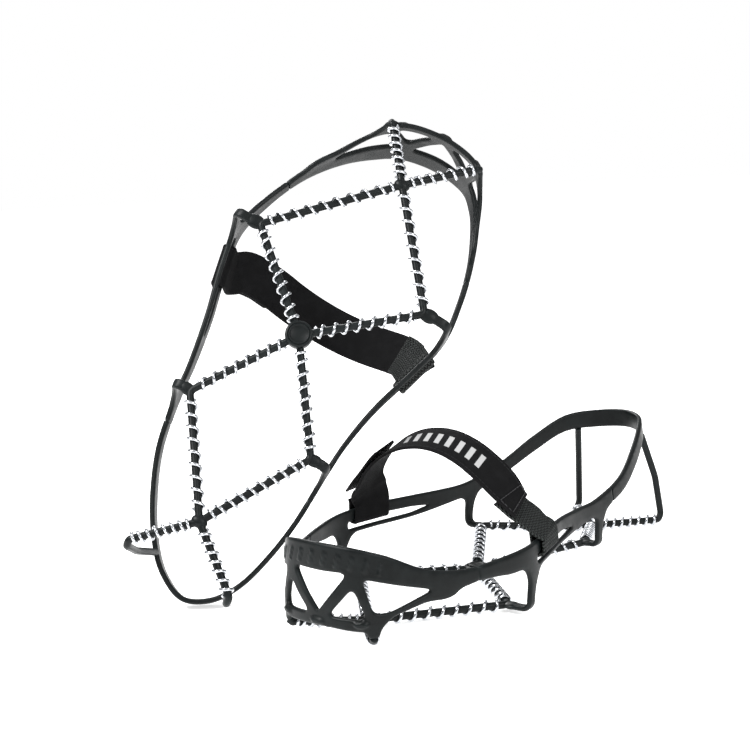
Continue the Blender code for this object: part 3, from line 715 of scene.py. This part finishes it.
def knuckle(at, foot, width):
    """Gusset between a side junction and the foot of its drop strap."""
    d = foot - at
    return blob(at.lerp(foot, 0.5), d.length / 2 + 3.0, width, 1.9, math.atan2(d.y, d.x))


def web_front():
    """Front cords: toe legs, crossing, front diamond sides and the runs to the centre disc."""
    out = []
    for s in (1, -1):
        foot = wall(S_LEG, 9.5, 0.0, s)
        bend = PTF[s].lerp(foot, 0.45) + Vector((0, 0, -1.0))
        path = [foot, bend, PTF[s], PXF, PAF[-s], hub_rim(PAF[-s])]
        out.append(tube(fillet(path), CORD_R, CORD_SIDES))
    out.append(blob(PXF, *CROSSING))
    for s in (1, -1):
        out.append(knuckle(PAF[s], wall(arc_at(AF), -4.0, 0.0, s), 4.3))
    return out


def web_rear():
    """Rear cords: runs from the disc, rear diamond sides, crossing and the heel legs."""
    out = []
    for s in (1, -1):
        top = wall(arc_at(-137.0), 61.5, 0.0, s)
        path = [hub_rim(PAR[-s]), PAR[-s], PXR, PTR[s], PTR[s] + Vector((0, 3.2, 3.5)),
                PTR[s].lerp(top, 0.5) + Vector((s * 1.5, 4.0, 0)), top]
        out.append(tube(fillet(path), CORD_R, CORD_SIDES))
    out.append(blob(PXR, *CROSSING))
    for s in (1, -1):
        out.append(knuckle(PAR[s], wall(arc_at(AR), 8.0, 0.0, s), 3.6))
    return out


CLOSED, CLOSED_RISE = 0.6, 2.0       # closed part of a turn at each end and its pitch
TUCK, TUCK_TURN = 0.35, 0.12         # how far, and over what part of a turn, a wire end tucks in
COIL_STEPS, WIRE_SIDES = 22, 10


def coil(a, b, start, stop, turns, hand):
    """Round spring wire wound round the cord, with a closed turn at each end; hand +1 right, -1 left.
    start and stop are the bare cord left beside a and b."""
    axis = b - a
    t = axis.normalized()
    n = t.cross(UP).normalized()
    m = t.cross(n)
    run = axis.length - start - stop
    pitch = (run - 2 * CLOSED * CLOSED_RISE) / (turns - CLOSED)
    total = int(round((turns + CLOSED) * COIL_STEPS))
    path = []
    for i in range(total + 1):
        turn = i / COIL_STEPS
        left = total / COIL_STEPS - turn
        z = (start + CLOSED_RISE * min(turn, CLOSED) + CLOSED_RISE * max(CLOSED - left, 0.0)
             + pitch * min(max(turn - CLOSED, 0.0), total / COIL_STEPS - 2 * CLOSED))
        ang = hand * 2 * math.pi * turn
        inward = TUCK * smooth((TUCK_TURN - min(turn, left)) / TUCK_TURN)
        path.append(a + t * z + (n * math.cos(ang) + m * math.sin(ang)) * (COIL_R - inward))
    return tube(path, WIRE_R, WIRE_SIDES)


HUB_SIDES = 64


def hub_disc():
    """Centre disc of the net, turned from (radius, height): rim, groove and raised button."""
    top = HUB_H
    prof = [(4.5, 0.75), (4.75, 0.6), (4.95, 0.3), (5.25, 0.1), (5.7, 0.1), (5.9, 0.35),
            (6.1, 0.5), (6.3, 0.4), (HUB_R - 1.2, 0.12), (HUB_R - 0.6, 0.25), (HUB_R - 0.1, 0.75),
            (HUB_R, 1.3), (HUB_R, top - 2.2), (HUB_R - 0.25, top - 1.5), (HUB_R - 0.9, top - 1.05),
            (6.1, top - 0.95), (5.85, top - 1.25), (5.6, top - 1.3), (5.35, top - 1.2),
            (5.15, top - 0.45), (4.7, top - 0.08), (3.9, top), (3.7, top - 0.2), (3.4, top - 0.35)]
    angles = [2 * math.pi * k / HUB_SIDES for k in range(HUB_SIDES)]
    verts = [Vector((r * math.cos(a), r * math.sin(a), z)) for r, z in prof for a in angles]
    return verts, skin(len(prof), HUB_SIDES)


# ---------------------------------------------------------------- strap
STRAP_F = 22.0             # where the strap wraps the rails


def rail_loop(side):
    """Strap path round the upper rail at the slot, from the inside up to the outside; then the
    middle of the rail there, the way out from the boot and the way along the rail."""
    s = arc_at(STRAP_F)
    mid = rim_at(s)[2] - RAIL_H / 2
    c = wall(s, mid, 0.0, side)
    out = (wall(s, mid, 1.0, side) - c).normalized()
    ahead, behind = (wall(s + d, rim_at(s + d)[2], 0, side) for d in (1, -1))
    tan = (ahead - behind).normalized()
    u = BAND_T / 2 + RAIL_CLEAR + STRAP_T / 2
    lo = -RAIL_H / 2 - RAIL_CLEAR - STRAP_T / 2
    bevel, up = 1.2, 7.0
    pts = [(-u, up), (-u, lo + bevel), (-u + bevel, lo),
           (u - bevel, lo), (u, lo + bevel), (u, up)]
    return [(c + out * a + UP * b - out * LEAN * b, tan) for a, b in pts], c, out, tan


# the strap's path over the instep, in the device's own frame, and the way across it there
CREST = [(-50.5, -33.5, 59.0), (-45.0, -35.5, 66.5), (-37.0, -37.0, 74.5), (-26.5, -37.0, 82.0),
         (-14.0, -37.0, 87.0), (0.0, -37.0, 88.8), (13.0, -37.0, 87.2), (26.0, -37.0, 82.2),
         (38.6, -37.0, 74.2), (46.5, -36.3, 67.1)]
TILT = Vector((0, 0.96, 0.28))
# the last two rows of the band, where it is sewn to the elastic: centre and way across
SEWN = [(Vector((52.9, -34.5, 59.0)), Vector((-0.12, 0.975, 0.12))),
        (Vector((55.3, -32.9, 55.9)), Vector((-0.12, 0.98, 0.06)))]


def band_rows():
    """Rows (centre, way across) of the band, from its free end round the left rail to the seam."""
    loop, c, out, tan = rail_loop(-1)
    end = [(c + out * 3.6 + Vector((0, -0.6, 10.4)), tan)]
    down = [(c - out * 4.2 + Vector((0, -2.5, 12.0)), tan),
            (c - out * 7.6 + Vector((0, -7.5, 18.0)), (tan + TILT) * 0.5)]
    over = [(Vector(p), TILT) for p in CREST]
    return end + list(reversed(loop)) + down + over + SEWN


def tab_rows():
    """Rows of the hook-and-loop tab, which lies on the band above the left rail."""
    _, c, out, tan = rail_loop(-1)
    a = c + out * 2.2 + Vector((0, -1.6, 16.0))
    b = Vector((-55.5, -31.5, 58.5)) + out * 1.2
    d = Vector((-45.0, -35.5, 66.5)) + out * 2.3 + Vector((0, 0, 2.0))
    e = Vector((-34.5, -37.0, 78.2)) + out * 1.0 + Vector((0, 0, 1.9))
    return [(a, tan), (b, (tan + TILT) * 0.5), (d, TILT),
            (d.lerp(e, 0.5) + out * 0.2, TILT), (e, TILT)]


def elastic_rows():
    """Rows of the elastic, from under the band's sewn end round the right rail."""
    loop, c, out, tan = rail_loop(1)
    w = Vector((-0.12, 0.98, 0.02))
    n = Vector((0.77, -0.04, 0.63))                    # outward from the strap at the seam
    gap = STRAP_T + 0.3
    return [(Vector((49.55, -35.4, 63.2)) - n * (gap + 1.0), Vector((-0.057, 0.967, 0.204))),
            (SEWN[0][0] - n * (gap + 0.6), SEWN[0][1]),
            (SEWN[1][0] - n * (gap + 0.5), SEWN[1][1]),
            (Vector((59.3, -29.0, 49.8)) - n * 0.9, w),
            (c - out * 0.2 + Vector((0, -2.5, 7.8)), (w + tan) * 0.5),
            (c + out * 2.5 + Vector((0, -0.4, 4.9)), tan),
            (c + out * 3.2 + Vector((0, 0, 2.6)), tan)] + list(reversed(loop[:-1]))


ROW_STEP, ROUND_MAX = 0.8, 12.0      # spacing of rows along a strap, longest side of a rounded corner


def curve_rows(rows, step=ROW_STEP):
    """Smooth rows (centre, way across, run) that follow the given ones and round their corners."""
    rows = [np.array(list(c) + list(w.normalized())) for c, w in rows]
    fine = [rows[0]]
    for a, b, c in zip(rows, rows[1:], rows[2:]):
        before, after = (np.linalg.norm(r[:3] - b[:3]) for r in (a, c))
        d = 0.5 * min(before, after, ROUND_MAX)
        p = b + (a - b) * d / before
        q = b + (c - b) * d / after
        fine += [p * (1 - t) ** 2 + b * 2 * t * (1 - t) + q * t * t for t in np.linspace(0, 1, 9)]
    fine = np.array(fine + [rows[-1]])
    steps = np.linalg.norm(np.diff(fine[:, :3], axis=0), axis=1)
    run = np.concatenate([[0.0], np.cumsum(steps)])
    at = np.linspace(0, run[-1], max(2, int(run[-1] / step)) + 1)
    out = np.stack([np.interp(at, run, fine[:, k]) for k in range(6)], 1)
    return [(Vector(r[:3]), Vector(r[3:]), float(s)) for r, s in zip(out, at)]


INNER_SHIFT = 110.0        # keeps the weave in step but puts the print and edge stitches out of reach
PROFILE_X = [1.0, 0.985, 0.95, 0.90, 0.86, 0.82, 0.6, 0.3, 0.0,
             -0.3, -0.6, -0.82, -0.86, -0.90, -0.95, -0.985]
PROFILE_Y = [0.0, 0.62, 0.93, 1.0, 0.97, 0.86, 0.88, 0.9, 0.9,
             0.9, 0.88, 0.86, 0.97, 1.0, 0.93, 0.62]


def profile(width, thick):
    """Cross-section of a sewn strap: rounded selvedges and slightly raised borders."""
    upper = [(x * width / 2, y * thick / 2) for x, y in zip(PROFILE_X, PROFILE_Y)]
    return upper + [(-x, -y) for x, y in upper]


def strap(rows, width, thick, round_end=0.0):
    """Strap through rows; returns verts, faces and the (across, along) of every corner in mm."""
    rows = curve_rows(rows)
    prof = profile(width, thick)
    total, n, k = rows[-1][2], len(rows), len(prof)
    verts, place = [], []
    for i, (c, w, s) in enumerate(rows):
        t = (rows[min(i + 1, n - 1)][0] - rows[max(i - 1, 0)][0]).normalized()
        w = (w - t * w.dot(t)).normalized()
        nn = t.cross(w).normalized()
        near, shrink = total - s, 1.0
        if round_end and near < round_end:
            cut = round_end - math.sqrt(max(round_end ** 2 - (round_end - near) ** 2, 0.0))
            shrink = 1.0 - cut * 2 / width
        ease = 0.55 + 0.45 * math.sqrt(min(min(s, near) / 0.8, 1.0))
        for j, (x, y) in enumerate(prof):
            verts.append(c + w * (x * shrink) + nn * (y * ease))
            place.append((x * shrink + (INNER_SHIFT if j > k // 2 else 0.0), s))
    return verts, skin(n, k), place


THREAD_R, THREAD_SIDES = 0.24, 8


def seam_stitches():
    """Raised stitches of the joint between band and elastic: two rows across and a box at the edges."""
    rows = curve_rows(band_rows(), 0.5)
    total = rows[-1][2]
    spots = []
    for back in (2.0, 9.0):
        spots += [(total - back, x, 0) for x in np.arange(-9.6, 9.7, 2.4)]
    for x in (-10.6, 10.6):
        spots += [(total - b, x, 1) for b in (3.4, 5.5, 7.6)]
    verts, faces = [], []
    for s, x, way in spots:
        i = min(range(len(rows)), key=lambda j: abs(rows[j][2] - s))
        c, w, _ = rows[i]
        t = (rows[i + 1][0] - rows[i - 1][0]).normalized()
        w = (w - t * w.dot(t)).normalized()
        nn = t.cross(w).normalized()
        along = t if way else w
        mid = c + w * x + nn * (STRAP_T / 2 + 0.02)
        path = [mid + along * (0.92 * u) + nn * (0.14 * (1 - u * u))
                for u in (-1, -0.6, -0.2, 0.2, 0.6, 1)]
        v, f = tube(path, THREAD_R, THREAD_SIDES)
        faces += [[q + len(verts) for q in face] for face in f]
        verts += v
    return verts, faces


# ---------------------------------------------------------------- assembly
B_AXES = Euler([math.radians(a) for a in B_TURN]).to_matrix().to_4x4()
TURN_B = Matrix.Translation(Vector(B_HUB) * MM) @ B_AXES
PLACES = (("a", Matrix.Identity(4)), ("b", TURN_B))


def mesh_of(name, verts, faces, place=None):
    """Mesh in metres with its faces outward; place gives a strap's (across, along) in mm."""
    me = bpy.data.meshes.new(name)
    me.from_pydata([v * MM for v in verts], [], faces)
    bm = bmesh.new()
    bm.from_mesh(me)
    if place is not None:
        layer = bm.loops.layers.uv.new("cloth")
        for face in bm.faces:
            for loop in face.loops:
                x, y = place[loop.vert.index]
                least = min(place[v.index][0] for v in face.verts)
                if x > INNER_SHIFT / 2 > least:          # a face that joins the two sides
                    x -= INNER_SHIFT
                loop[layer].uv = (x, y)
    bmesh.ops.recalc_face_normals(bm, faces=bm.faces[:])
    if bm.calc_volume(signed=True) < 0:
        bmesh.ops.reverse_faces(bm, faces=bm.faces[:])
    bm.to_mesh(me)
    bm.free()
    return me


def joined(name, pieces):
    """Union of overlapping closed meshes."""
    obs = []
    for verts, faces in pieces:
        ob = bpy.data.objects.new(name, mesh_of(name, verts, faces))
        SCENE.collection.objects.link(ob)
        obs.append(ob)
    for other in obs[1:]:
        mod = obs[0].modifiers.new("join", "BOOLEAN")
        mod.operation, mod.solver, mod.object = "UNION", "EXACT", other
    bpy.context.view_layer.update()
    graph = bpy.context.evaluated_depsgraph_get()
    me = bpy.data.meshes.new_from_object(obs[0].evaluated_get(graph))
    for ob in obs:
        data = ob.data
        bpy.data.objects.remove(ob)
        bpy.data.meshes.remove(data)
    return me


# name, from, to, bare cord at each end, turns, hand
COILS = [("coil_toe_left", PXF, PTF[-1], COIL_CLEAR, 0.6, 7, -1),
         ("coil_toe_right", PXF, PTF[1], COIL_CLEAR, 0.6, 6, 1),
         ("coil_front_outer_left", PXF, PAF[-1], COIL_CLEAR, COIL_CLEAR, 9, 1),
         ("coil_front_outer_right", PXF, PAF[1], COIL_CLEAR, COIL_CLEAR, 9, -1),
         ("coil_front_inner_left", PAF[-1], HUB, COIL_CLEAR, HUB_CLEAR, 8, 1),
         ("coil_front_inner_right", PAF[1], HUB, COIL_CLEAR, HUB_CLEAR, 8, -1),
         ("coil_rear_inner_left", HUB, PAR[-1], HUB_CLEAR, COIL_CLEAR, 8, -1),
         ("coil_rear_inner_right", HUB, PAR[1], HUB_CLEAR, COIL_CLEAR, 8, 1),
         ("coil_rear_outer_left", PAR[-1], PXR, COIL_CLEAR, REAR_CLEAR, 9, -1),
         ("coil_rear_outer_right", PAR[1], PXR, COIL_CLEAR, REAR_CLEAR, 9, 1),
         ("coil_heel_left", PXR, PTR[-1], COIL_CLEAR, 1.6, 7, 1),
         ("coil_heel_right", PXR, PTR[1], COIL_CLEAR, 1.6, 7, -1)]
# printed row on the band: where it starts and ends, number of bars, half their height
PRINT_X, PRINT_BARS, PRINT_HALF = (-19.0, 37.0), 8, 4.9
TAB_ROUND = 5.0            # rounding of the tab's free end
SHARP, SHARP_STRAP, SHARP_FORM = 35.0, 50.0, 60.0      # edges bent more than this stay sharp


def pair(name, me, material, body, node, sharp=SHARP):
    """The same mesh on both devices, each riding on its own body in place of its CAD node."""
    me.materials.clear()
    me.materials.append(material)
    for tag, place in PLACES:
        data = me.copy()
        data.name = tag + "_" + name
        data.transform(place)
        data.polygons.foreach_set("use_smooth", [True] * len(data.polygons))
        data.set_sharp_from_angle(angle=math.radians(sharp))
        ob = bpy.data.objects.new(tag + "_" + name, data)
        SCENE.collection.objects.link(ob)
        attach(ob, tag + "_" + body)
        if node:
            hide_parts(tag + "_" + node)
    bpy.data.meshes.remove(me)


def strap_rows_at(xs):
    """Runs along the band at which it passes each x over the instep."""
    rows = [r for r in curve_rows(band_rows()) if r[0].z > 60]
    return [min(rows, key=lambda r: abs(r[0].x - x))[2] for x in xs]


def build():
    black, wire = rubber(), steel()
    for name, data in (("toe_cradle", toe_cradle()), ("side_rail_left", side_rail(-1)),
                       ("side_rail_right", side_rail(1)), ("heel_band", heel_band())):
        pair(name + "_moulding", mesh_of(name, *data), black, "harness", name, SHARP_FORM)
    pair("hub_disc_moulding", mesh_of("hub", *hub_disc()), black, "harness", "hub_disc")
    pair("web_front_cords", joined("front", web_front()), black, "harness", "web_front")
    pair("web_rear_cords", joined("rear", web_rear()), black, "harness", "web_rear")
    for name, *winding in COILS:
        pair(name + "_wire", mesh_of(name, *coil(*winding)), wire, name, name, SHARP_FORM)
    printed = (*strap_rows_at(PRINT_X), PRINT_BARS, PRINT_HALF)
    for name, shape, look, body, slot in (
            ("strap_band", strap(band_rows(), STRAP_W, STRAP_T), webbing(STRAP_W, printed),
             "strap", "webbing"),
            ("strap_elastic", strap(elastic_rows(), STRAP_W, ELASTIC_T), elastic(),
             "strap", "elastic"),
            ("strap_tab", strap(tab_rows(), TAB_W, STRAP_T, TAB_ROUND), webbing(TAB_W),
             "tab", "tab")):
        pair(name + "_webbing", mesh_of(name, *shape), look, body, name, SHARP_STRAP)
    pair("strap_stitching", mesh_of("stitches", *seam_stitches()), thread(), "strap", None,
         SHARP_FORM)


set_camera()
set_light()
set_floor()
build()
